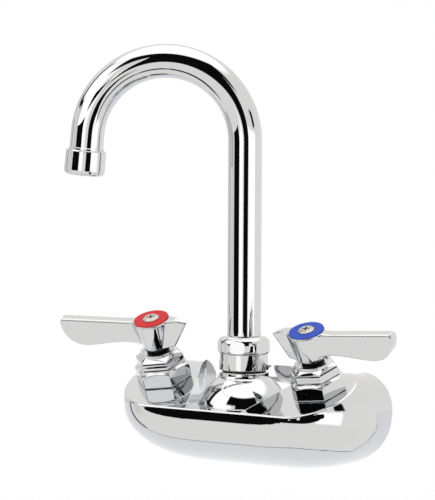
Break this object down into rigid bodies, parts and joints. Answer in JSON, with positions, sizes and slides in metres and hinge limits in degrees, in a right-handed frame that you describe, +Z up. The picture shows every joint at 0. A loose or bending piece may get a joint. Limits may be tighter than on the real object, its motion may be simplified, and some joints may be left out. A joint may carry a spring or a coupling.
{
  "type": "wall mount faucet",
  "caption": "Wall-mounted splash faucet body with a swivel gooseneck spout, aerator outlet and lever handles on quarter-turn valves.",
  "frame": {"origin": "centre of the wall face, midway between the two inlet sockets on their line", "axes": "+Y into the wall along the inlet sockets, -Y out to the user, +Z up, +X to the user's right"},
  "size_m": [0.2115, 0.0832, 0.237],
  "materials": {
    "polished_chrome": "mirror-polished chrome plate",
    "machined_brass": "turned bare brass",
    "black_rubber": "moulded black rubber",
    "fibre_washer": "pressed red fibre",
    "ceramic_disc": "lapped white ceramic",
    "red_enamel": "glossy red index ring",
    "blue_enamel": "glossy blue index ring",
    "stainless_screw": "stainless screw head",
    "nylon": "moulded white nylon",
    "black_plastic": "glossy black plastic collar"
  },
  "bodies": {
    "faucet": {"faucet_body": "polished_chrome", "spout_nut": "polished_chrome", "spout_bearing_ring": "nylon", "hot_bonnet": "polished_chrome", "hot_bonnet_gasket": "fibre_washer", "hot_fixed_disc": "ceramic_disc", "hot_seat_seal": "black_rubber", "hot_stem_collar": "black_plastic", "cold_bonnet": "polished_chrome", "cold_bonnet_gasket": "fibre_washer", "cold_fixed_disc": "ceramic_disc", "cold_seat_seal": "black_rubber", "cold_stem_collar": "black_plastic"},
    "spout": {"spout_tube": "polished_chrome", "spout_ferrule": "machined_brass", "spout_oring_lower": "black_rubber", "spout_oring_upper": "black_rubber", "outlet_adaptor": "polished_chrome", "aerator_shell": "polished_chrome", "aerator_washer": "black_rubber", "aerator_core": "nylon"},
    "hot_handle": {"hot_lever_handle": "polished_chrome", "hot_index_ring": "red_enamel", "hot_handle_screw": "stainless_screw", "hot_stem": "machined_brass", "hot_moving_disc": "ceramic_disc", "hot_stem_oring": "black_rubber"},
    "cold_handle": {"cold_lever_handle": "polished_chrome", "cold_index_ring": "blue_enamel", "cold_handle_screw": "stainless_screw", "cold_stem": "machined_brass", "cold_moving_disc": "ceramic_disc", "cold_stem_oring": "black_rubber"}
  },
  "joints": [
    {"name": "spout_swivel", "type": "hinge", "parent": "faucet", "child": "spout", "pos_m": [0, -0.03, 0.03], "axis": [0, 0, 1], "range_deg": [-35, 160]},
    {"name": "hot_handle_turn", "type": "hinge", "parent": "faucet", "child": "hot_handle", "pos_m": [-0.0508, -0.03315, 0.02144], "axis": [0, -0.3778, 0.9259], "range_deg": [0, 90]},
    {"name": "cold_handle_turn", "type": "hinge", "parent": "faucet", "child": "cold_handle", "pos_m": [0.0508, -0.03315, 0.02144], "axis": [0, 0.3778, -0.9259], "range_deg": [0, 90]}
  ]
}
